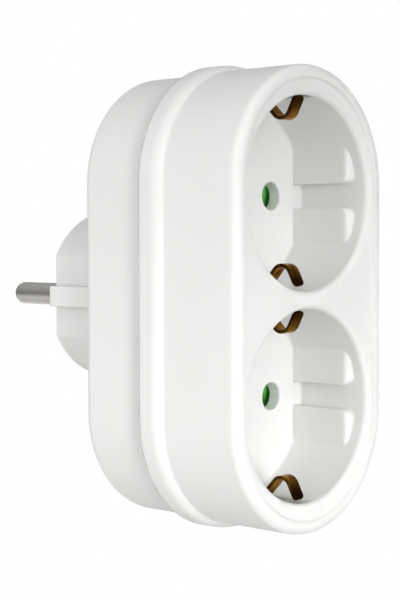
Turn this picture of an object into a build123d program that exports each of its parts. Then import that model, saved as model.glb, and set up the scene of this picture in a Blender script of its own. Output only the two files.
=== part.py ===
"""Two-way socket adapter: a round earthed plug at the rear, two shuttered earthed sockets at the front.

Millimetres. The origin is the middle of the plug's face, between the two pins.
+Y runs along the pins, away from the sockets, +X is to the right seen from the front, and +Z is up.
Depths count from the front rim towards the rear.
"""

import os
from math import cos, radians, sin

from build123d import *

# Plug and socket interface
pin_spacing = 19.0
pin_diameter = 4.8
pin_length = 19.0
pin_tip_round = 1.9
pin_shank_diameter = 5.6
pin_shank_setback = 0.1
well_diameter = 38.8
well_depth = 17.7
socket_web = 3.4
pin_hole_diameter = 5.8
pin_hole_round = 0.45
key_height = 2.8
key_slot = 5.1
key_setback = 3.2
key_corner_round = 2.0
key_front_round = 1.2
key_edge_round = 0.25

# Front housing: its collar is the wider band that the rear housing nests in
face_margin = 1.2
end_margin = 2.1
front_wall = 2.2
rim_width = 2.7
rim_round = 1.8
rim_inner_round = 0.4
face_recess = 0.8
recess_round = 0.3
face_thickness = 2.0
mouth_round = 1.15
cup_wall = 1.9
floor_thickness = 3.0
floor_round = 0.5
pocket_lip = 0.3
pocket_width = 5.0
pocket_reach = 0.9
pocket_length = 2.0
collar_length = 5.7
collar_lip = 1.15
collar_sweep = 2.5
collar_edge_round = 0.45
nest_length = 2.6
nest_gap = 0.4

# Rear housing: a tongue nests in the front housing's collar, and a flare meets the collar's edge
body_depth = 41.4
flare_length = 4.5
rear_inset = 0.4
rear_round = 1.6
rear_wall = 2.0
back_wall = 2.3
nest_clearance = 0.15

# Plug body
plug_diameter = 36.5
plug_length = 16.4
flat_depth = 2.2
plug_round = 0.6
plug_corner_round = 1.0
plug_wall = 2.8
plug_face = 3.2
rib_width = 4.3
rib_height = 2.5
rib_setback = 1.0
pin_boss_diameter = 9.2
pin_clearance = 0.03

# Shutters and the carrier behind them
shutter_thickness = 3.5
shutter_edge = 0.8
shutter_cover = 0.4
shutter_top = 0.7
shutter_bar = 2.0
blade_inner_reach = 3.5
blade_outer_reach = 6.3
shutter_travel = 6.0
shutter_clearance = 0.2
spring_diameter = 3.0
spring_wire = 0.4
spring_turns = 6
spring_length = 10.2
spring_clearance = 0.05
carrier_thickness = 2.0
carrier_clearance = 0.3
guide_wall = 1.2
stop_width = 3.6
stop_height = 1.6
window_clearance = 0.4

# Live contacts
busbar_width = 6.0
busbar_thickness = 0.8
busbar_overhang = 4.4
receptacle_sheet = 0.5
receptacle_height = 5.0
receptacle_grip = 0.15
receptacle_mouth = 0.8
receptacle_lip = 3.0
receptacle_belly = 0.7
receptacle_gap = 1.1
pin_flange_diameter = 7.4
pin_flange = 1.0
pin_tail_diameter = 3.4
pin_head_diameter = 5.2
pin_head = 0.6
hole_clearance = 0.05

# Earth parts
earth_sheet = 0.7
clip_width = 3.0
clip_apex_depth = 6.75
clip_apex_reach = 6.4
clip_apex_round = 2.3
clip_end_depth = 3.65
clip_end_reach = 0.5
clip_bend_depth = 13.5
upper_clip_lift = 0.6
clip_bend_round = 2.0
bracket_round = 1.2
bracket_width = 6.0
arm_offset = 0.9
arm_gap = 0.9
slot_clearance = 0.4
clip_end_round = 1.0
clip_edge_round = 0.12
contact_width = 7.0
contact_inset = 1.75
contact_wall = 2.8
contact_setback = 1.0
contact_tab_offset = 2.8
earth_rivet_diameter = 2.2
earth_rivet_head_diameter = 4.0
earth_rivet_head = 0.6
earth_rivet_height = 6.0

# Fixings
screw_x = 8.2
screw_rise = 14.9
screw_diameter = 2.9
screw_tip_wall = 1.25
screw_head_diameter = 5.6
screw_head = 2.0
screw_recess_diameter = 6.6
screw_seat_wall = 2.6
screw_hole_clearance = 0.25
screw_slot_width = 0.9
screw_slot_depth = 0.9
front_boss_diameter = 6.4
rear_boss_diameter = 9.0
post_diameter = 4.4
post_gap = 0.9
post_angle = 30.0

# Places that follow from the sizes above
socket_spacing = well_diameter + socket_web
socket_z = socket_spacing / 2
pin_x = pin_spacing / 2
pin_radius = pin_diameter / 2
shank_radius = pin_shank_diameter / 2
well_radius = well_diameter / 2
cup_radius = well_radius + cup_wall
key_gap = well_diameter - 2 * key_height
front_width = well_diameter + 2 * (face_margin + rim_width)
arc_spacing = socket_spacing + 2 * end_margin
front_height = arc_spacing + front_width
front_radius = front_width / 2
collar_radius = front_radius + collar_lip
rear_radius = front_radius - rear_inset
rear_edge_round = min(rear_round, 0.85 * rear_wall)
cavity_radius = rear_radius - rear_wall
plug_radius = plug_diameter / 2
plug_flats = plug_diameter - 2 * flat_depth
face_end = face_recess + face_thickness
key_start = face_recess + key_setback
pocket_start = face_recess + mouth_round + pocket_lip
floor_start = face_recess + well_depth
floor_end = floor_start + floor_thickness
nest_start = floor_end + nest_gap
front_depth = nest_start + nest_length
collar_depth = front_depth - collar_length
shutter_start = floor_end + shutter_clearance
shutter_end = shutter_start + shutter_thickness
carrier_start = shutter_end + shutter_clearance
carrier_end = carrier_start + carrier_thickness
bracket_end = carrier_end + earth_sheet
link_end = bracket_end + earth_sheet
back_start = body_depth - back_wall
busbar_start = back_start - busbar_thickness
receptacle_tip = carrier_end + receptacle_gap
contact_tab_depth = body_depth + contact_tab_offset
screw_seat_depth = carrier_end + screw_seat_wall
screw_end = floor_end + screw_tip_wall + screw_hole_clearance
plug_end = body_depth + plug_length
pin_end = plug_end + pin_length
rest_low = -(pin_hole_diameter / 2 + shutter_cover)
rest_high = pin_hole_diameter / 2 + shutter_top
shutter_half_width = pin_x + blade_outer_reach
blade_inner = pin_x - blade_inner_reach
stop_low = rest_low + shutter_bar + spring_length + 2 * spring_clearance
inner_arm_z = (arm_gap + earth_sheet) / 2
outer_arm_z = socket_z + well_radius + arm_offset
arm_slot_width = clip_width + 2 * slot_clearance
contact_reach = plug_radius - contact_inset
recess_floor = contact_reach - earth_sheet
cavity_half_height = recess_floor - contact_wall
link_half_height = cavity_half_height - slot_clearance / 2 - earth_sheet / 2
post_reach = cavity_radius - post_gap - post_diameter / 2
post_x = post_reach * cos(radians(post_angle))
post_z = arc_spacing / 2 + post_reach * sin(radians(post_angle))
screw_z = socket_z + screw_rise
rivet_radius = earth_rivet_diameter / 2
socket_centres = [(0, socket_z), (0, -socket_z)]
hole_centres = [(x, z) for x in (-pin_x, pin_x) for z in (socket_z, -socket_z)]
screw_centres = [(screw_x, screw_z), (-screw_x, -screw_z)]
rivet_centres = [(0, earth_rivet_height), (0, -earth_rivet_height)]


def at_depth(depth):
    """Plane across the adapter at a depth behind the front rim; a negative extrusion runs to the rear."""
    return Plane.XZ.offset(plug_end - depth)


def y_at(depth):
    """Y of a depth behind the front rim."""
    return depth - plug_end


def outline(width):
    """The adapter's outline, two half rounds on common centres, in a sketch on a plane across it."""
    SlotCenterToCenter(arc_spacing, width, rotation=90)


# Guide keys: a pair of ribs with a slot between them on each side of a well, moulded with the front housing
key_length = floor_start - key_start
key_block = well_radius - key_slot / 2
key_middle_y = y_at(key_start + key_length / 2)
key_foot = well_radius + cup_wall - key_gap / 2
with BuildPart() as guide_keys:
    for side in (-1, 1):
        with BuildSketch(Plane.YZ.offset(side * key_gap / 2)) as key_sides:
            for centre in (socket_z, -socket_z):
                for end in (-1, 1):
                    with Locations((key_middle_y, centre + end * (key_slot + key_block) / 2)):
                        Rectangle(key_length, key_block)
            front_corners = key_sides.vertices().group_by(Axis.X)[0]
            slot_corners = [corner for corner in front_corners if abs(abs(corner.Y) - socket_z) < key_slot]
            fillet(slot_corners, key_corner_round)
        extrude(amount=side * key_foot)
    flats = guide_keys.faces().filter_by(Axis.X)
    flats = [face for face in flats if abs(abs(face.center().X) - key_gap / 2) < 0.01]
    slot_edges = [
        edge
        for face in flats
        for edge in face.edges().filter_by(Axis.Y)
        if abs(abs(edge.center().Z) - socket_z) < key_slot
    ]
    fillet(slot_edges, key_edge_round)
    with BuildSketch(Plane.XY.offset(-front_height / 2)) as key_plan:
        for side in (-1, 1):
            with Locations((side * (key_gap + key_foot) / 2, key_middle_y)):
                Rectangle(key_foot, key_length)
        plan_fronts = key_plan.vertices().group_by(Axis.Y)[0]
        fillet([corner for corner in plan_fronts if abs(corner.X) < well_radius], key_front_round)
    extrude(amount=front_height, mode=Mode.INTERSECT)
    with BuildSketch(at_depth(key_start)):
        with Locations(*socket_centres):
            Circle(well_radius + cup_wall / 2)
    extrude(amount=-key_length, mode=Mode.INTERSECT)

# The way round the adapter that both housings' walls follow
with BuildLine(at_depth(front_depth)) as wall_path:
    Line((rear_radius, 0), (rear_radius, arc_spacing / 2))
    CenterArc((0, arc_spacing / 2), rear_radius, 0, 180)
    Line((-rear_radius, arc_spacing / 2), (-rear_radius, -arc_spacing / 2))
    CenterArc((0, -arc_spacing / 2), rear_radius, 180, 180)
    Line((rear_radius, -arc_spacing / 2), (rear_radius, 0))

# Front housing: outer wall with its collar, recessed face, two wells with keys, pin holes and clip slots
with BuildPart() as front_housing:
    with BuildSketch(at_depth(0)):
        outline(front_width)
    extrude(amount=-front_depth)
    front_rim = front_housing.faces().sort_by(Axis.Y)[0]
    fillet(front_rim.edges(), rim_round)
    with BuildSketch(Plane.XY) as collar_profile:
        with BuildLine():
            TangentArc(
                (collar_radius, y_at(collar_depth + collar_sweep)),
                (front_radius, y_at(collar_depth)),
                tangent=(0, -1),
            )
            Polyline(
                (front_radius, y_at(collar_depth)),
                (front_radius - front_wall / 2, y_at(collar_depth)),
                (front_radius - front_wall / 2, y_at(front_depth)),
                (collar_radius, y_at(front_depth)),
                (collar_radius, y_at(collar_depth + collar_sweep)),
            )
        make_face()
        fillet(collar_profile.vertices().group_by(Axis.Y)[-1].sort_by(Axis.X)[-1], collar_edge_round)
    sweep(path=wall_path.line)
    with BuildSketch(at_depth(0)):
        outline(front_width - 2 * rim_width)
    extrude(amount=-face_recess, mode=Mode.SUBTRACT)
    flat_faces = front_housing.faces().filter_by(Axis.Y).sort_by(Axis.Y)
    fillet(flat_faces[0].inner_wires()[0].edges(), rim_inner_round)
    face_plane = front_housing.faces().filter_by(Axis.Y).sort_by(Axis.Y)[1]
    fillet(face_plane.edges(), recess_round)
    with BuildSketch(at_depth(face_end)):
        outline(front_width - 2 * front_wall)
    extrude(amount=-(front_depth - face_end), mode=Mode.SUBTRACT)
    with BuildSketch(at_depth(nest_start)):
        outline(front_width)
    extrude(amount=-nest_length, mode=Mode.SUBTRACT)
    with BuildSketch(at_depth(face_end)):
        with Locations(*socket_centres):
            Circle(cup_radius)
    extrude(amount=-(floor_end - face_end))
    with BuildSketch(at_depth(face_recess)):
        with Locations(*socket_centres):
            Circle(well_radius)
    extrude(amount=-well_depth, mode=Mode.SUBTRACT)
    floor_edges = [
        edge
        for edge in front_housing.edges().filter_by(GeomType.CIRCLE)
        if abs(edge.arc_center.Y - y_at(floor_start)) < 0.01 and abs(edge.radius - well_radius) < 0.01
    ]
    fillet(floor_edges, floor_round)
    add(guide_keys.part)
    with BuildSketch(at_depth(floor_start)):
        with Locations(*hole_centres):
            Circle(pin_hole_diameter / 2)
    extrude(amount=-floor_thickness, mode=Mode.SUBTRACT)
    hole_edges = [
        edge
        for edge in front_housing.edges().filter_by(GeomType.CIRCLE)
        if abs(edge.arc_center.Y - y_at(floor_start)) < 0.01
        and abs(edge.radius - pin_hole_diameter / 2) < 0.01
    ]
    fillet(hole_edges, pin_hole_round)
    slot_reach = cup_wall + 2 * slot_clearance
    outer_slot_z = socket_z + cup_radius + slot_clearance - slot_reach / 2
    with BuildSketch(at_depth(pocket_start)):
        with Locations((0, outer_slot_z), (0, -outer_slot_z)):
            Rectangle(arm_slot_width, slot_reach)
        Rectangle(arm_slot_width, 2 * (socket_z - well_radius + slot_clearance))
    extrude(amount=-(front_depth - pocket_start), mode=Mode.SUBTRACT)
    with BuildSketch(at_depth(pocket_start)):
        with Locations(*socket_centres):
            Circle(well_radius + pocket_reach)
        Rectangle(pocket_width, front_height, mode=Mode.INTERSECT)
    extrude(amount=-pocket_length, mode=Mode.SUBTRACT)
    with BuildSketch(at_depth(floor_end)):
        with Locations(*screw_centres):
            Circle(front_boss_diameter / 2)
    extrude(amount=-(carrier_end - floor_end))
    with BuildSketch(at_depth(screw_end - screw_hole_clearance)):
        with Locations(*screw_centres):
            Circle(screw_diameter / 2 + hole_clearance)
    extrude(amount=-(carrier_end - screw_end + screw_hole_clearance), mode=Mode.SUBTRACT)
    mouth_edges = [
        edge
        for edge in front_housing.edges().filter_by(GeomType.CIRCLE)
        if abs(edge.arc_center.Y - y_at(face_recess)) < 0.01 and abs(edge.radius - well_radius) < 0.01
    ]
    fillet(mouth_edges, mouth_round)

# Rear housing: tongue, flared side wall, back, and the round plug body with its flats and guide ribs
with BuildPart() as rear_housing:
    flare_end = front_depth + flare_length
    tongue_radius = front_radius - nest_clearance
    tongue_start = nest_start + nest_clearance
    with BuildSketch(Plane.XY) as wall_profile:
        with BuildLine():
            TangentArc((rear_radius, y_at(flare_end)), (collar_radius, y_at(front_depth)), tangent=(0, -1))
            Polyline(
                (collar_radius, y_at(front_depth)),
                (tongue_radius, y_at(front_depth)),
                (tongue_radius, y_at(tongue_start)),
                (cavity_radius, y_at(tongue_start)),
                (cavity_radius, y_at(body_depth)),
                (rear_radius, y_at(body_depth)),
                (rear_radius, y_at(flare_end)),
            )
        make_face()
        fillet(wall_profile.vertices().group_by(Axis.Y)[-1].sort_by(Axis.X)[-1], rear_edge_round)
    sweep(path=wall_path.line)
    with BuildSketch(at_depth(back_start)):
        outline(2 * (rear_radius - rear_edge_round))
    extrude(amount=-back_wall)
    with BuildSketch(at_depth(back_start)) as plug_section:
        Circle(plug_radius)
        Rectangle(plug_flats, plug_diameter, mode=Mode.INTERSECT)
        fillet(plug_section.vertices(), plug_corner_round)
    extrude(amount=-(plug_end - back_start))
    plug_face_edges = rear_housing.faces().sort_by(Axis.Y)[-1].edges()
    fillet(plug_face_edges, plug_round)
    with BuildSketch(at_depth(back_start)):
        with Locations((plug_flats / 2, 0), (-plug_flats / 2, 0)):
            Rectangle(2 * rib_height, rib_width)
    extrude(amount=-(plug_end - rib_setback - back_start))
    with BuildSketch(at_depth(back_start)):
        Circle(plug_radius - plug_wall)
        Rectangle(plug_flats - 2 * plug_wall, 2 * cavity_half_height, mode=Mode.INTERSECT)
        with Locations((pin_x, 0), (-pin_x, 0)):
            Circle(pin_boss_diameter / 2, mode=Mode.SUBTRACT)
    extrude(amount=-(plug_end - plug_face - back_start), mode=Mode.SUBTRACT)
    with BuildSketch(at_depth(back_start)):
        with Locations((pin_x, 0), (-pin_x, 0)):
            Circle(shank_radius + pin_clearance)
    extrude(amount=-(plug_end - back_start), mode=Mode.SUBTRACT)
    with BuildSketch(at_depth(back_start)):
        with Locations((pin_x, 0), (-pin_x, 0)):
            Circle(pin_flange_diameter / 2 + hole_clearance)
    extrude(amount=-pin_flange, mode=Mode.SUBTRACT)
    recess_height = plug_radius - recess_floor + slot_clearance
    tab_clearance = slot_clearance / 4
    with BuildSketch(at_depth(contact_tab_depth - tab_clearance)):
        for side in (1, -1):
            with Locations((0, side * (recess_floor + recess_height / 2))):
                Rectangle(contact_width + slot_clearance, recess_height)
    extrude(amount=-(plug_end - contact_tab_depth + tab_clearance), mode=Mode.SUBTRACT)
    with BuildSketch(at_depth(contact_tab_depth - tab_clearance)):
        Rectangle(contact_width + slot_clearance, 2 * (recess_floor + tab_clearance))
        Rectangle(contact_width + slot_clearance, 2 * cavity_half_height, mode=Mode.SUBTRACT)
    extrude(amount=-2 * (earth_sheet + tab_clearance), mode=Mode.SUBTRACT)
    post_centres = [(x, z) for x in (-post_x, post_x) for z in (-post_z, post_z)]
    with BuildSketch(at_depth(carrier_end)):
        with Locations(*post_centres):
            Circle(post_diameter / 2)
        with Locations(*screw_centres):
            Circle(rear_boss_diameter / 2)
    extrude(amount=-(back_start - carrier_end))
    with BuildSketch(at_depth(carrier_end)):
        with Locations(*screw_centres):
            Circle(screw_diameter / 2 + screw_hole_clearance)
    extrude(amount=-(body_depth - carrier_end), mode=Mode.SUBTRACT)
    with BuildSketch(at_depth(screw_seat_depth)):
        with Locations(*screw_centres):
            Circle(screw_recess_diameter / 2)
    extrude(amount=-(body_depth - screw_seat_depth), mode=Mode.SUBTRACT)

# Contact carrier: an insulating plate with the shutters' guides on its front
guide_half_width = shutter_half_width + shutter_clearance + guide_wall
guide_low = rest_low - shutter_clearance - guide_wall
guide_high = max(rest_high + shutter_travel, stop_low + stop_height) + shutter_clearance
with BuildPart() as contact_carrier:
    with BuildSketch(at_depth(carrier_start)):
        outline(2 * (cavity_radius - carrier_clearance))
        with Locations(*hole_centres):
            Circle(pin_hole_diameter / 2 + window_clearance, mode=Mode.SUBTRACT)
        with Locations(*screw_centres):
            Circle(front_boss_diameter / 2 + carrier_clearance, mode=Mode.SUBTRACT)
        with Locations(*rivet_centres):
            Circle(rivet_radius + hole_clearance, mode=Mode.SUBTRACT)
        arm_slot_low = outer_arm_z - earth_sheet / 2 - bracket_round
        arm_slot_high = outer_arm_z + earth_sheet / 2 + slot_clearance
        for side in (1, -1):
            with Locations((0, side * (arm_slot_low + arm_slot_high) / 2)):
                Rectangle(arm_slot_width, arm_slot_high - arm_slot_low, mode=Mode.SUBTRACT)
        Rectangle(arm_slot_width, 2 * inner_arm_z + earth_sheet + 2 * bracket_round, mode=Mode.SUBTRACT)
    extrude(amount=-carrier_thickness)
    with BuildSketch(at_depth(floor_end)):
        for centre in (socket_z, -socket_z):
            with Locations((0, centre + (guide_low + guide_high) / 2)):
                Rectangle(2 * guide_half_width, guide_high - guide_low)
            with Locations((0, centre + (guide_low + guide_wall + guide_high) / 2)):
                Rectangle(
                    2 * (guide_half_width - guide_wall),
                    guide_high - guide_low - guide_wall,
                    mode=Mode.SUBTRACT,
                )
            with Locations((0, centre + stop_low + stop_height / 2)):
                Rectangle(stop_width, stop_height)
    extrude(amount=-(carrier_start - floor_end))

# Shutters: one slider per socket, with a ramped blade behind each pin hole and a bar that joins them
shutters = {}
for name, centre in (("upper_shutter", socket_z), ("lower_shutter", -socket_z)):
    with BuildPart() as shutter:
        for side in (-1, 1):
            with BuildSketch(Plane.YZ.offset(side * blade_inner)):
                with BuildLine():
                    Polyline(
                        (y_at(shutter_end), centre + rest_low),
                        (y_at(shutter_end), centre + rest_high),
                        (y_at(shutter_start), centre + rest_high),
                        (y_at(shutter_start), centre + rest_high - shutter_top),
                        (y_at(shutter_end - shutter_edge), centre + rest_low),
                        close=True,
                    )
                make_face()
            extrude(amount=side * (shutter_half_width - blade_inner))
        with BuildSketch(at_depth(shutter_end - shutter_edge)):
            with Locations((0, centre + rest_low + shutter_bar / 2)):
                Rectangle(2 * pin_x, shutter_bar)
        extrude(amount=-shutter_edge)
        with BuildSketch(at_depth(shutter_start)):
            with Locations((0, centre + rest_low + shutter_bar / 2)):
                Rectangle(2 * blade_inner, shutter_bar)
        extrude(amount=-shutter_thickness)
    shutter.part.label = name
    shutters[name] = shutter.part

# Shutter springs: each stands on a shutter's bar and pushes it down from the carrier's stop
springs = {}
for name, centre in (("upper_shutter_spring", socket_z), ("lower_shutter_spring", -socket_z)):
    coil_radius = (spring_diameter - spring_wire) / 2
    coil_height = spring_length - spring_wire
    coil_base = centre + rest_low + shutter_bar + spring_clearance + spring_wire / 2
    coil_y = y_at((shutter_start + shutter_end) / 2)
    with BuildPart() as spring:
        with BuildLine():
            coil = Helix(coil_height / spring_turns, coil_height, coil_radius, center=(0, coil_y, coil_base))
        with BuildSketch(Plane(origin=coil @ 0, z_dir=coil % 0)):
            Circle(spring_wire / 2)
        sweep(path=coil, is_frenet=True)
    spring.part.label = name
    springs[name] = spring.part

# Live parts: a bar on each side carries two spring receptacles and the plug pin riveted to its middle
live_parts = {}
for side_name, side in (("line", -1), ("neutral", 1)):
    with BuildPart() as busbar:
        with BuildSketch(at_depth(busbar_start)):
            with Locations((side * pin_x, 0)):
                SlotOverall(socket_spacing + 2 * busbar_overhang, busbar_width, rotation=90)
                Circle(pin_tail_diameter / 2 + hole_clearance, mode=Mode.SUBTRACT)
        extrude(amount=-busbar_thickness)
    live_parts[f"{side_name}_busbar"] = busbar.part

    with BuildPart() as pin:
        with BuildSketch(at_depth(busbar_start - pin_head)):
            with Locations((side * pin_x, 0)):
                Circle(pin_head_diameter / 2)
        extrude(amount=-pin_head)
        with BuildSketch(at_depth(busbar_start)):
            with Locations((side * pin_x, 0)):
                Circle(pin_tail_diameter / 2)
        extrude(amount=-busbar_thickness)
        with BuildSketch(at_depth(back_start)):
            with Locations((side * pin_x, 0)):
                Circle(pin_flange_diameter / 2)
        extrude(amount=-pin_flange)
        shank_end = plug_end - pin_shank_setback
        with BuildSketch(at_depth(back_start + pin_flange)):
            with Locations((side * pin_x, 0)):
                Circle(shank_radius)
        extrude(amount=-(shank_end - back_start - pin_flange))
        with BuildSketch(at_depth(shank_end)):
            with Locations((side * pin_x, 0)):
                Circle(pin_radius)
        extrude(amount=-(pin_end - shank_end))
        fillet(pin.faces().sort_by(Axis.Y)[-1].edges(), min(pin_tip_round, 0.9 * pin_radius))
    live_parts[f"{side_name}_pin"] = pin.part

    for level_name, centre in (("upper", socket_z), ("lower", -socket_z)):
        base = busbar_start - receptacle_sheet
        grip = pin_radius - receptacle_grip
        belly = grip + receptacle_belly
        mouth = grip + receptacle_mouth
        grip_depth = receptacle_tip + receptacle_lip
        belly_depth = (grip_depth + base) / 2
        half_leaf = [(mouth, receptacle_tip), (grip, grip_depth), (belly, belly_depth), (belly, base)]
        right_side = [(side * pin_x + x, y_at(depth)) for x, depth in half_leaf]
        left_side = [(side * pin_x - x, y_at(depth)) for x, depth in reversed(half_leaf)]
        with BuildPart() as receptacle:
            with BuildSketch(Plane.XY.offset(centre - receptacle_height / 2)):
                with BuildLine():
                    FilletPolyline(*right_side, *left_side, radius=receptacle_sheet)
                    offset(amount=receptacle_sheet, side=Side.LEFT)
                make_face()
            extrude(amount=receptacle_height)
        live_parts[f"{level_name}_{side_name}_receptacle"] = receptacle.part

# Earth brackets: one bent strip per socket, with a sprung clip at the top and bottom of its well
earth_parts = {}
for name, side in (("upper_earth_bracket", 1), ("lower_earth_bracket", -1)):
    back_y = y_at(carrier_end + earth_sheet / 2)
    clip_points = []
    clip_middle = side * socket_z + (upper_clip_lift if side > 0 else 0)
    for out, arm_z in ((1, outer_arm_z), (-1, inner_arm_z)):
        clip_points.append(
            [
                (y_at(clip_end_depth), clip_middle + side * out * (well_radius - clip_end_reach)),
                (y_at(clip_apex_depth), clip_middle + side * out * (well_radius - clip_apex_reach)),
                (y_at(clip_bend_depth), side * arm_z),
                (back_y, side * arm_z),
            ]
        )
    clip_rounds = [clip_apex_round, clip_bend_round, bracket_round]
    with BuildPart() as bracket:
        with BuildSketch(Plane.YZ):
            with BuildLine():
                strip = FilletPolyline(
                    *clip_points[0],
                    *reversed(clip_points[1]),
                    radius=clip_rounds + clip_rounds[::-1],
                )
            trace(strip, line_width=earth_sheet)
        extrude(amount=clip_width / 2, both=True)
        free_ends = bracket.faces().filter_by(lambda face: abs(face.area - clip_width * earth_sheet) < 0.01)
        end_corners = free_ends.edges().filter_by(lambda edge: abs(edge.length - earth_sheet) < 0.01)
        fillet(end_corners, clip_end_round)
        side_faces = bracket.faces().filter_by(Axis.X).group_by(Axis.X)
        fillet((side_faces[0] + side_faces[-1]).edges(), clip_edge_round)
        back_low = inner_arm_z + bracket_round
        back_high = outer_arm_z - bracket_round
        with BuildSketch(at_depth(carrier_end)):
            with Locations((0, side * (back_low + back_high) / 2)):
                Rectangle(bracket_width, back_high - back_low)
            with Locations((0, side * earth_rivet_height)):
                Circle(rivet_radius + hole_clearance, mode=Mode.SUBTRACT)
        extrude(amount=-earth_sheet)
        with BuildSketch(at_depth(carrier_end)):
            with Locations((0, side * earth_rivet_height)):
                Circle(rivet_radius + hole_clearance)
        extrude(amount=-earth_sheet, mode=Mode.SUBTRACT)
    earth_parts[name] = bracket.part

# Earth link: a U strip riveted to both brackets, with legs into the plug body
link_y = y_at(bracket_end + earth_sheet / 2)
with BuildPart() as earth_link:
    with BuildSketch(Plane.YZ):
        with BuildLine():
            link_strip = FilletPolyline(
                (y_at(contact_tab_depth), link_half_height),
                (link_y, link_half_height),
                (link_y, -link_half_height),
                (y_at(contact_tab_depth), -link_half_height),
                radius=bracket_round,
            )
        trace(link_strip, line_width=earth_sheet)
    extrude(amount=bracket_width / 2, both=True)
    with BuildSketch(at_depth(bracket_end)):
        with Locations(*rivet_centres):
            Circle(rivet_radius + hole_clearance)
    extrude(amount=-earth_sheet, mode=Mode.SUBTRACT)
earth_parts["earth_link"] = earth_link.part

# Plug earth contacts: strips let into the top and bottom of the plug body, with a tab to the link's leg
contact_z = contact_reach - earth_sheet / 2
for name, side in (("upper_plug_earth_contact", 1), ("lower_plug_earth_contact", -1)):
    tab_y = y_at(contact_tab_depth + earth_sheet / 2)
    with BuildPart() as plug_contact:
        with BuildSketch(Plane.YZ):
            with BuildLine():
                contact_strip = FilletPolyline(
                    (y_at(plug_end - contact_setback), side * contact_z),
                    (tab_y, side * contact_z),
                    (tab_y, side * (link_half_height - earth_sheet)),
                    radius=earth_sheet,
                )
            trace(contact_strip, line_width=earth_sheet)
        extrude(amount=contact_width / 2, both=True)
    earth_parts[name] = plug_contact.part

# Earth rivets: they clamp the link and both brackets to the carrier
with BuildPart() as earth_rivets:
    with BuildSketch(at_depth(carrier_start - earth_rivet_head)):
        with Locations(*rivet_centres):
            Circle(earth_rivet_head_diameter / 2)
    extrude(amount=-earth_rivet_head)
    with BuildSketch(at_depth(carrier_start)):
        with Locations(*rivet_centres):
            Circle(rivet_radius)
    extrude(amount=-(link_end - carrier_start))
    with BuildSketch(at_depth(link_end)):
        with Locations(*rivet_centres):
            Circle(earth_rivet_head_diameter / 2)
    extrude(amount=-earth_rivet_head)

# Housing screws: driven from the rear, through the rear bosses into the front ones
with BuildPart() as housing_screws:
    with BuildSketch(at_depth(screw_end)):
        with Locations(*screw_centres):
            Circle(screw_diameter / 2)
    extrude(amount=-(screw_seat_depth - screw_end))
    with BuildSketch(at_depth(screw_seat_depth)):
        with Locations(*screw_centres):
            Circle(screw_head_diameter / 2)
    extrude(amount=-screw_head)
    with BuildSketch(at_depth(screw_seat_depth + screw_head - screw_slot_depth)):
        with Locations(*screw_centres):
            Rectangle(screw_head_diameter / 2, screw_slot_width)
            Rectangle(screw_slot_width, screw_head_diameter / 2)
    extrude(amount=-screw_slot_depth, mode=Mode.SUBTRACT)

pieces = {
    "front_housing": front_housing.part,
    "rear_housing": rear_housing.part,
    "contact_carrier": contact_carrier.part,
    **shutters,
    **springs,
    **live_parts,
    **earth_parts,
    "earth_rivets": earth_rivets.part,
    "housing_screws": housing_screws.part,
}
os.makedirs("parts", exist_ok=True)
for name, piece in pieces.items():
    piece.label = name
    export_step(piece, f"parts/{name}.step")
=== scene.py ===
"""Looks of a white two-way socket adapter: an earthed plug at the rear, two shuttered sockets at the front.

Metres, in the frame of the solids: +Y along the plug's pins, +X to the right seen from the front, +Z up.
"""

import math

import bpy
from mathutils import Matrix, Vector


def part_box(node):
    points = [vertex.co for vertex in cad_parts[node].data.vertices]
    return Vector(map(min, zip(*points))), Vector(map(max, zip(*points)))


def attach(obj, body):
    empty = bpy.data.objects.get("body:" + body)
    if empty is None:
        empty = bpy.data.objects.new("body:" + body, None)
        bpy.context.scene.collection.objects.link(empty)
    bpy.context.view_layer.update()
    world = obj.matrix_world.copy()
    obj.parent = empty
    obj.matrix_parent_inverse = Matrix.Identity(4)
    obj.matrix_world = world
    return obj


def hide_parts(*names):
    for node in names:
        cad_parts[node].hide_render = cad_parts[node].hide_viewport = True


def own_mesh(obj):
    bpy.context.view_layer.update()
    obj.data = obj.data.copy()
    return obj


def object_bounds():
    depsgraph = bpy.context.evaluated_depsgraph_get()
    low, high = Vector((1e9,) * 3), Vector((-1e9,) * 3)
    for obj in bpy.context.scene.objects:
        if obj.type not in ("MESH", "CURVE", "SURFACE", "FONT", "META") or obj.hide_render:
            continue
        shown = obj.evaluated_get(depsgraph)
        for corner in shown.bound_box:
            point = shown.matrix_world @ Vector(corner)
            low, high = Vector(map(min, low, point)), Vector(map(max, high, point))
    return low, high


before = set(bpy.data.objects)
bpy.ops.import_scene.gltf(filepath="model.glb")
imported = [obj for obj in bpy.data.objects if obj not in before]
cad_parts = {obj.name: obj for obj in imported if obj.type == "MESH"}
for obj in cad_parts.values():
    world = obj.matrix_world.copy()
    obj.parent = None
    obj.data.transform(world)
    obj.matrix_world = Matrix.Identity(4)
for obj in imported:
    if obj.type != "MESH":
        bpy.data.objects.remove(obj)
solid_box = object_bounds()

# The two housings: the front cover with its wells and the rear shell with the plug body.
# Both are injection-moulded in white ABS from finely ground tools, and two screws hold them together.
# The satin skin gives broad soft reflections, and light that enters it softens edges and hole walls.
MM = 0.001


def linear_colour(hex_code):
    """Turns an sRGB hex value into linear RGBA."""
    channels = [int(hex_code[i : i + 2], 16) / 255 for i in (1, 3, 5)]
    linear = [c / 12.92 if c <= 0.04045 else ((c + 0.055) / 1.055) ** 2.4 for c in channels]
    return (*linear, 1.0)


def add_node(tree, kind, output, inputs=None, **options):
    """Adds a node with its options, sets or links its inputs (by name or number), and returns one output."""
    node = tree.nodes.new(kind)
    for name, value in options.items():
        setattr(node, name, value)
    for name, value in (inputs or {}).items():
        named = [s for s in node.inputs if s.enabled and s.name == name]
        socket = named[0] if named else node.inputs[name]
        if isinstance(value, bpy.types.NodeSocket):
            tree.links.new(value, socket)
        else:
            socket.default_value = value
    return next(s for s in node.outputs if s.enabled and s.name == output)


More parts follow.
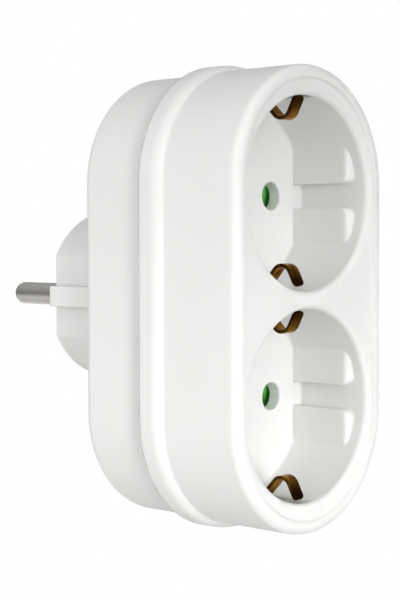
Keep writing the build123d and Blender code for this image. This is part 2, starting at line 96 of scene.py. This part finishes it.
def start_material(name, roughness, metallic=0.0):
    """Starts a material on one Principled shader, with the two values that are the same all over it."""
    material = bpy.data.materials.new(name)
    material.use_nodes = True
    shader = material.node_tree.nodes["Principled BSDF"]
    shader.inputs["Roughness"].default_value = roughness
    shader.inputs["Metallic"].default_value = metallic
    return material, material.node_tree, shader


def dress(material, *node_names):
    """Gives the solids of these names the material."""
    for node_name in node_names:
        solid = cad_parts[node_name]
        solid.data.materials.clear()
        solid.data.materials.append(material)


white_abs, tree, shader = start_material("white_moulded_abs", roughness=0.55)
light_depth = 1.2 * MM
shader.inputs["IOR"].default_value = 1.54
shader.inputs["Subsurface Weight"].default_value = 0.3
shader.inputs["Subsurface Radius"].default_value = (1.0, 1.0, 0.8)
shader.inputs["Subsurface Scale"].default_value = light_depth
place = add_node(tree, "ShaderNodeTexCoord", "Object")
cloud_size = 14 * MM
clouds = add_node(
    tree,
    "ShaderNodeTexNoise",
    "Fac",
    {"Vector": place, "Scale": 1 / cloud_size, "Detail": 2.0},
)
white_tint = add_node(
    tree,
    "ShaderNodeMix",
    "Result",
    {
        "Factor": clouds,
        "A": linear_colour("#ECECEB"),
        "B": linear_colour("#E8E8E6"),
    },
    data_type="RGBA",
)
tree.links.new(white_tint, shader.inputs["Base Color"])
edge_radius = 0.5 * MM  # moulded edges are never quite sharp
rounding = add_node(tree, "ShaderNodeBevel", "Normal", {"Radius": edge_radius}, samples=8)
skin_size = 1.6 * MM
skin_height = 0.004 * MM
skin = add_node(
    tree,
    "ShaderNodeTexNoise",
    "Fac",
    {"Vector": place, "Scale": 1 / skin_size, "Detail": 3.0},
)
peel = add_node(
    tree,
    "ShaderNodeBump",
    "Normal",
    {"Height": skin, "Strength": 1.0, "Distance": skin_height, "Normal": rounding},
)
tree.links.new(peel, shader.inputs["Normal"])
dress(white_abs, "front_housing", "rear_housing")

# The plug's two pins: turned brass rods with a rounded tip, plated with bright nickel.
# They stand in the plug body on a shank and a flange, riveted to the live bars inside.
# Turning leaves fine rings under the plating, and use leaves the nickel slightly warm and uneven.
nickel, tree, shader = start_material("nickel_plated_brass", roughness=0.2, metallic=1.0)
place = add_node(tree, "ShaderNodeTexCoord", "Object")
ring_pitch = 0.35 * MM
ring_reach = 7 * MM
along_rod = add_node(
    tree,
    "ShaderNodeMapping",
    "Vector",
    {"Vector": place, "Scale": (1 / ring_reach, 1 / ring_pitch, 1 / ring_reach)},
)
rings = add_node(
    tree,
    "ShaderNodeTexNoise",
    "Fac",
    {"Vector": along_rod, "Scale": 1.0, "Detail": 2.0},
)
nickel_tint = add_node(
    tree,
    "ShaderNodeMix",
    "Result",
    {
        "Factor": rings,
        "A": linear_colour("#D2D0CA"),
        "B": linear_colour("#C2BFB8"),
    },
    data_type="RGBA",
)
tree.links.new(nickel_tint, shader.inputs["Base Color"])
ring_height = 0.0006 * MM
turning = add_node(
    tree,
    "ShaderNodeBump",
    "Normal",
    {"Height": rings, "Strength": 1.0, "Distance": ring_height},
)
tree.links.new(turning, shader.inputs["Normal"])
dress(nickel, "line_pin", "neutral_pin")

# The earth parts: clips in the wells, side contacts on the plug, and the link between them.
# They are stamped and bent from hard-rolled bronze strip, which springs back on a plug's contacts.
# Rolling lines and patches vary it between golden bronze and brown tarnish; the cut edges in the wells and
# the tips are darkened with painted shade.
bronze, tree, shader = start_material("rolled_spring_bronze", roughness=0.16, metallic=1.0)
shader.inputs["Specular Tint"].default_value = linear_colour("#E8D8BE")
place = add_node(tree, "ShaderNodeTexCoord", "Object")
line_width = 0.6 * MM  # coarser than real rolling lines, which would be too fine to show
line_reach = 15 * MM
across_strip = add_node(
    tree,
    "ShaderNodeMapping",
    "Vector",
    {"Vector": place, "Scale": (1 / line_width, 1 / line_reach, 1 / line_reach)},
)
rolling = add_node(
    tree,
    "ShaderNodeTexNoise",
    "Fac",
    {"Vector": across_strip, "Scale": 1.0, "Detail": 2.0},
)
patch_size = 2.5 * MM
patches = add_node(
    tree,
    "ShaderNodeTexNoise",
    "Fac",
    {"Vector": place, "Scale": 1 / patch_size, "Detail": 3.0},
)
stain = add_node(tree, "ShaderNodeMath", "Value", {0: patches, 1: rolling}, operation="ADD")
golden_below = 0.8
brown_above = 1.2
tarnish = add_node(
    tree,
    "ShaderNodeMapRange",
    "Result",
    {"Value": stain, "From Min": golden_below, "From Max": brown_above},
)
bronze_tint = add_node(
    tree,
    "ShaderNodeMix",
    "Result",
    {
        "Factor": tarnish,
        "A": linear_colour("#C08C42"),
        "B": linear_colour("#5E3A10"),
    },
    data_type="RGBA",
)
# Painted shade: the strip's cut edges inside the wells are darkened towards #2A1405, for the dark
# reflections they show.
across = add_node(tree, "ShaderNodeSeparateXYZ", "X", {"Vector": place})
along = add_node(tree, "ShaderNodeSeparateXYZ", "Y", {"Vector": place})
from_middle = add_node(tree, "ShaderNodeMath", "Value", {0: across}, operation="ABSOLUTE")
clip_half_width = 1.5 * MM
unshaded_share = 0.75
edge_darkness = 0.75
edge = add_node(
    tree,
    "ShaderNodeMapRange",
    "Result",
    {
        "Value": from_middle,
        "From Min": unshaded_share * clip_half_width,
        "From Max": clip_half_width,
        "To Min": 0.0,
        "To Max": edge_darkness,
    },
)
# Painted shade also darkens each clip towards its tip, which reaches behind the well's mouth.
clip_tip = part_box("upper_earth_bracket")[0].y
tip_fade = clip_tip + 3.2 * MM
tip_dark = clip_tip + 0.6 * MM
tip = add_node(
    tree,
    "ShaderNodeMapRange",
    "Result",
    {"Value": along, "From Min": tip_fade, "From Max": tip_dark},
)
edge_shade_end = clip_tip + 12 * MM
edge_shade_full = clip_tip + 9 * MM
in_well = add_node(
    tree,
    "ShaderNodeMapRange",
    "Result",
    {"Value": along, "From Min": edge_shade_end, "From Max": edge_shade_full},
)
painted_edge_shade = add_node(tree, "ShaderNodeMath", "Value", {0: edge, 1: in_well}, operation="MULTIPLY")
painted_shade = add_node(tree, "ShaderNodeMath", "Value", {0: painted_edge_shade, 1: tip}, operation="MAXIMUM")
bronze_colour = add_node(
    tree,
    "ShaderNodeMix",
    "Result",
    {
        "Factor": painted_shade,
        "A": bronze_tint,
        "B": linear_colour("#2A1405"),
    },
    data_type="RGBA",
)
tree.links.new(bronze_colour, shader.inputs["Base Color"])
line_height = 0.002 * MM
lines = add_node(
    tree,
    "ShaderNodeBump",
    "Normal",
    {"Height": rolling, "Strength": 1.0, "Distance": line_height},
)
tree.links.new(lines, shader.inputs["Normal"])
dress(
    bronze,
    "upper_earth_bracket",
    "lower_earth_bracket",
    "earth_link",
    "upper_plug_earth_contact",
    "lower_plug_earth_contact",
)

# The child-safety shutters: one slider behind the pin holes of each socket, pushed up by a plug's pins.
# They are moulded in green polyamide, so that a closed hole shows its colour.
# Polyamide is a little waxy, with a faint mottle and no sharp reflection.
polyamide, tree, shader = start_material("green_polyamide", roughness=0.42)
place = add_node(tree, "ShaderNodeTexCoord", "Object")
mottle_size = 1.5 * MM
mottle = add_node(
    tree,
    "ShaderNodeTexNoise",
    "Fac",
    {"Vector": place, "Scale": 1 / mottle_size, "Detail": 2.0},
)
green_tint = add_node(
    tree,
    "ShaderNodeMix",
    "Result",
    {
        "Factor": mottle,
        "A": linear_colour("#6FC467"),
        "B": linear_colour("#60B45A"),
    },
    data_type="RGBA",
)
tree.links.new(green_tint, shader.inputs["Base Color"])
dress(polyamide, "upper_shutter", "lower_shutter")

# The carrier: a plate behind the wells with guides for the shutters, which holds the earth parts.
# It is moulded in cream heat-resistant polyester, with a matt skin from an unpolished tool.
polyester, tree, shader = start_material("cream_moulded_polyester", roughness=0.6)
place = add_node(tree, "ShaderNodeTexCoord", "Object")
grit_size = 0.8 * MM
grit = add_node(
    tree,
    "ShaderNodeTexNoise",
    "Fac",
    {"Vector": place, "Scale": 1 / grit_size, "Detail": 3.0},
)
cream_tint = add_node(
    tree,
    "ShaderNodeMix",
    "Result",
    {
        "Factor": grit,
        "A": linear_colour("#D8D3C2"),
        "B": linear_colour("#CBC5B2"),
    },
    data_type="RGBA",
)
tree.links.new(cream_tint, shader.inputs["Base Color"])
grit_height = 0.01 * MM
grain = add_node(
    tree,
    "ShaderNodeBump",
    "Normal",
    {"Height": grit, "Strength": 1.0, "Distance": grit_height},
)
tree.links.new(grain, shader.inputs["Normal"])
dress(polyester, "contact_carrier")

# The live contacts: bars and spring receptacles, stamped from plain brass strip.
# The pins' tails are riveted to the bars, and the receptacles grip the pins of what is plugged in.
# Bare brass is warm and bright, with soft cloudy stains from handling.
brass, tree, shader = start_material("stamped_brass", roughness=0.3, metallic=1.0)
place = add_node(tree, "ShaderNodeTexCoord", "Object")
stain_size = 4 * MM
stains = add_node(
    tree,
    "ShaderNodeTexNoise",
    "Fac",
    {"Vector": place, "Scale": 1 / stain_size, "Detail": 3.0},
)
brass_tint = add_node(
    tree,
    "ShaderNodeMix",
    "Result",
    {
        "Factor": stains,
        "A": linear_colour("#DDBB6E"),
        "B": linear_colour("#BE9848"),
    },
    data_type="RGBA",
)
tree.links.new(brass_tint, shader.inputs["Base Color"])
dress(
    brass,
    "line_busbar",
    "neutral_busbar",
    "upper_line_receptacle",
    "lower_line_receptacle",
    "upper_neutral_receptacle",
    "lower_neutral_receptacle",
)

# The shutters' springs: coils of steel wire between each shutter's bar and a stop on the carrier.
# They push the shutters down. In the adapter a raised shutter presses its coil shorter towards the stop;
# here each coil keeps one length and moves with the housing.
# All steel here is zinc-plated, which dulls it to a fine grey spangle.
zinc, tree, shader = start_material("zinc_plated_steel", roughness=0.36, metallic=1.0)
place = add_node(tree, "ShaderNodeTexCoord", "Object")
spangle_size = 0.6 * MM
spangle = add_node(
    tree,
    "ShaderNodeTexVoronoi",
    "Distance",
    {"Vector": place, "Scale": 1 / spangle_size},
)
zinc_tint = add_node(
    tree,
    "ShaderNodeMix",
    "Result",
    {
        "Factor": spangle,
        "A": linear_colour("#C6C8CA"),
        "B": linear_colour("#A6A9AD"),
    },
    data_type="RGBA",
)
tree.links.new(zinc_tint, shader.inputs["Base Color"])
wire_radius = 0.2 * MM
wire_sides = 12
coil_turns = 6
steps_per_turn = 24
weld_distance = 0.001 * MM
crease_angle = 40
for level in ("upper", "lower"):
    low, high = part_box(f"{level}_shutter_spring")
    coil_radius = (high.x - low.x) / 2 - wire_radius
    coil_height = high.z - low.z - 2 * wire_radius
    bpy.ops.object.select_all(action="DESELECT")
    bpy.ops.mesh.primitive_circle_add(
        vertices=wire_sides,
        radius=wire_radius,
        location=(coil_radius, 0, 0),
        rotation=(math.radians(90), 0, 0),
    )
    coil = bpy.context.object
    coil.name = f"{level}_shutter_coil"
    bpy.ops.object.transform_apply(location=True, rotation=True, scale=True)
    screw = coil.modifiers.new("coiling", "SCREW")
    screw.iterations = coil_turns
    screw.screw_offset = coil_height / coil_turns
    screw.steps = steps_per_turn
    screw.render_steps = steps_per_turn
    bpy.ops.object.modifier_apply(modifier="coiling")
    bpy.ops.object.mode_set(mode="EDIT")
    bpy.ops.mesh.select_all(action="SELECT")
    bpy.ops.mesh.remove_doubles(threshold=weld_distance)
    bpy.ops.mesh.fill_holes(sides=0)
    bpy.ops.mesh.normals_make_consistent(inside=False)
    bpy.ops.transform.translate(value=(0, (low.y + high.y) / 2, low.z + wire_radius))
    bpy.ops.object.mode_set(mode="OBJECT")
    bpy.ops.object.shade_smooth_by_angle(angle=math.radians(crease_angle))
    coil.data.materials.append(zinc)
    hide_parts(f"{level}_shutter_spring")
    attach(coil, "housing")
    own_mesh(coil)

# The fixings: steel rivets that clamp the earth parts to the carrier, and two screws from the rear.
# They are zinc-plated like the springs.
dress(zinc, "earth_rivets", "housing_screws")

# The studio: the adapter hangs by its plug, well above a floor of pale paper that takes its shadow.
# The paper fades out at its rim, so that floor and surroundings join without an edge.
middle = (solid_box[0] + solid_box[1]) / 2
floor_drop = 200 * MM
floor_radius = 500 * MM
floor_sides = 96
fade_start = 250 * MM
bpy.ops.object.select_all(action="DESELECT")
bpy.ops.mesh.primitive_circle_add(
    vertices=floor_sides,
    radius=floor_radius,
    fill_type="NGON",
    location=(0, middle.y, solid_box[0].z - floor_drop),
)
floor = bpy.context.object
floor.name = "studio_floor"
paper, tree, shader = start_material("pale_floor_paper", roughness=0.9)
shader.inputs["Base Color"].default_value = linear_colour("#F4F4F2")
place = add_node(tree, "ShaderNodeTexCoord", "Object")
reach = add_node(tree, "ShaderNodeVectorMath", "Value", {"Vector": place}, operation="LENGTH")
cover = add_node(
    tree,
    "ShaderNodeMapRange",
    "Result",
    {
        "Value": reach,
        "From Min": fade_start,
        "From Max": floor_radius,
        "To Min": 1.0,
        "To Max": 0.0,
    },
)
tree.links.new(cover, shader.inputs["Alpha"])
floor.data.materials.append(paper)

# The surroundings: white to the camera, and a plain dim room to all that is lit by them.
# Metal mirrors white sheets overhead and underfoot, which meet in a dimmer band at eye level.
world = bpy.data.worlds.new("white_surroundings")
bpy.context.scene.world = world
world.use_nodes = True
tree = world.node_tree
room_level = 0.43
band_level = 0.26
overhead_level = 0.5
underfoot_level = 1.0
band_edge = 0.05
sheet_edge = 0.6
pure_white = (1, 1, 1, 1)
room = add_node(tree, "ShaderNodeBackground", "Background", {"Strength": room_level})
direction = add_node(tree, "ShaderNodeTexCoord", "Generated")
rise = add_node(tree, "ShaderNodeSeparateXYZ", "Z", {"Vector": direction})
overhead = add_node(
    tree,
    "ShaderNodeMapRange",
    "Result",
    {
        "Value": rise,
        "From Min": band_edge,
        "From Max": sheet_edge,
        "To Min": band_level,
        "To Max": overhead_level,
    },
)
underfoot = add_node(
    tree,
    "ShaderNodeMapRange",
    "Result",
    {
        "Value": rise,
        "From Min": -band_edge,
        "From Max": -sheet_edge,
        "To Min": band_level,
        "To Max": underfoot_level,
    },
)
sheet_level = add_node(tree, "ShaderNodeMath", "Value", {0: overhead, 1: underfoot}, operation="MAXIMUM")
sheet = add_node(
    tree,
    "ShaderNodeBackground",
    "Background",
    {"Color": pure_white, "Strength": sheet_level},
)
white = add_node(tree, "ShaderNodeBackground", "Background", {"Color": pure_white, "Strength": 1.0})
glossy_ray = add_node(tree, "ShaderNodeLightPath", "Is Glossy Ray")
transmission_ray = add_node(tree, "ShaderNodeLightPath", "Is Transmission Ray")
camera_ray = add_node(tree, "ShaderNodeLightPath", "Is Camera Ray")
seen = room
for ray, view in ((glossy_ray, sheet), (transmission_ray, sheet), (camera_ray, white)):
    seen = add_node(tree, "ShaderNodeMixShader", "Shader", {0: ray, 1: seen, 2: view})
tree.links.new(seen, tree.nodes["World Output"].inputs["Surface"])

# The lamps: soft boxes to the left, a small one ahead with a grid, which lights the lower socket most,
# and a fill behind on the right for the sides that the camera does not see.
# Each has its place from the adapter's middle, size, power, the height it is aimed at, and its spread.
lamps = (
    ("high_left_softbox", (-0.69, 0.0, 0.58), 1.2, 2.3, 0.0, 180),
    ("front_left_softbox", (-0.31, -0.815, 0.235), 1.2, 3.2, 0.0, 180),
    ("left_softbox", (-0.4, 0.1, 0.0), 0.4, 0.45, 0.0, 180),
    ("low_left_softbox", (-0.25, -0.05, -0.17), 0.15, 0.03, 0.0, 180),
    ("front_grid_softbox", (-0.22, -0.56, 0.0), 0.2, 0.103, -0.09, 30),
    ("right_rear_softbox", (0.55, 0.4, -0.05), 0.3, 1.6, 0.0, 180),
)
for name, offset, size, power, aim_height, spread in lamps:
    away = Vector(offset) - Vector((0, 0, aim_height))
    bpy.ops.object.light_add(type="AREA", location=middle + Vector(offset))
    lamp = bpy.context.object
    lamp.name = name
    lamp.rotation_euler = away.to_track_quat("Z", "Y").to_euler()
    lamp.data.shape = "SQUARE"
    lamp.data.size = size
    lamp.data.energy = power
    lamp.data.spread = math.radians(spread)
    lamp.visible_camera = False

# The camera stands ahead and to the left, a little above the middle, as in the photograph.
# Its lens is rather long, which keeps the perspective gentle.
camera_place = (-227.59 * MM, -232.73 * MM, 13.07 * MM)
camera_turn = -47.97
camera_pitch = -2.58
camera_roll = 0.13
camera_lens = 87.13
film_width = 36.0
bpy.ops.object.camera_add(location=camera_place)
camera = bpy.context.object
camera.rotation_euler = (
    math.radians(90 + camera_pitch),
    math.radians(camera_roll),
    math.radians(camera_turn),
)
camera.data.lens = camera_lens
camera.data.sensor_width = film_width
camera.data.clip_start = 10 * MM
bpy.context.scene.camera = camera
bpy.context.scene.view_settings.view_transform = "Standard"
